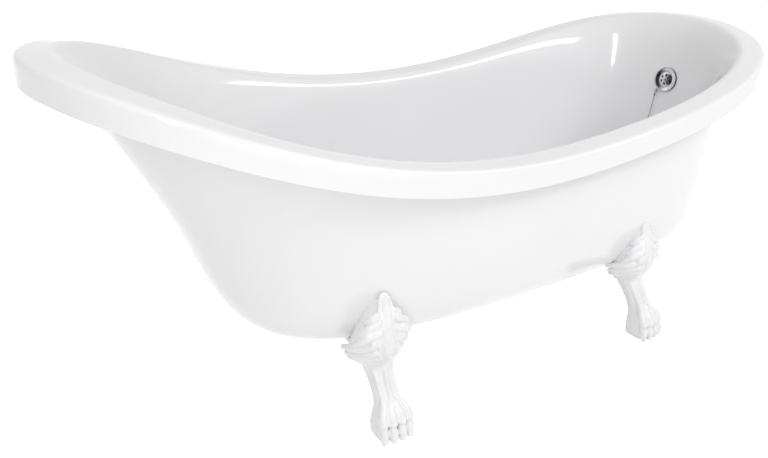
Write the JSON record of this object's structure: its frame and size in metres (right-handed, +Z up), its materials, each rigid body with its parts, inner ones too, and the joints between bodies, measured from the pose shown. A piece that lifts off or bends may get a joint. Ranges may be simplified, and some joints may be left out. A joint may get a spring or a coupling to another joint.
{
  "type": "clawfoot bathtub",
  "caption": "Freestanding slipper bath, double-skinned gloss white shell with a rolled rim, on cast claw feet, with chrome overflow, waste, plug and bead chain.",
  "frame": {"origin": "on the floor, under the middle of the bath's length and width", "axes": "+X along the bath towards its drain end, +Z up"},
  "size_m": [1.7, 0.7224, 0.7015],
  "materials": {
    "acrylic": "gloss white sanitary acrylic",
    "foot_enamel": "semi-gloss white enamel on cast aluminium",
    "board": "raw plywood",
    "fixing_steel": "zinc-plated steel",
    "insert_brass": "plain brass",
    "chrome": "polished chrome plate",
    "black_rubber": "matt black rubber",
    "white_plastic": "moulded white polypropylene",
    "hose_plastic": "soft grey-white overflow hose"
  },
  "bodies": {
    "bath": {"inner_basin": "acrylic", "outer_skin": "acrylic", "base_board": "board", "mounting_blocks": "board", "foot_head_near": "foot_enamel", "foot_head_far": "foot_enamel", "foot_drain_near": "foot_enamel", "foot_drain_far": "foot_enamel", "foot_bolts": "fixing_steel", "foot_washers": "fixing_steel", "foot_inserts": "insert_brass", "overflow_faceplate": "chrome", "overflow_screw": "chrome", "overflow_seal": "black_rubber", "overflow_body": "white_plastic", "overflow_hose": "hose_plastic", "hose_clips": "fixing_steel", "stay_ring": "chrome", "stay_clasp": "chrome", "waste_flange": "chrome", "waste_screw": "chrome", "waste_seal": "black_rubber", "waste_body": "white_plastic", "plug_chain": "chrome"},
    "plug": {"plug_stopper": "black_rubber", "plug_cap": "chrome", "plug_ring": "chrome", "plug_clasp": "chrome"}
  },
  "joints": [
    {"name": "plug_lift", "type": "slide", "parent": "bath", "child": "plug", "axis": [0, 0, 1], "range_m": [0, 0.06]}
  ]
}
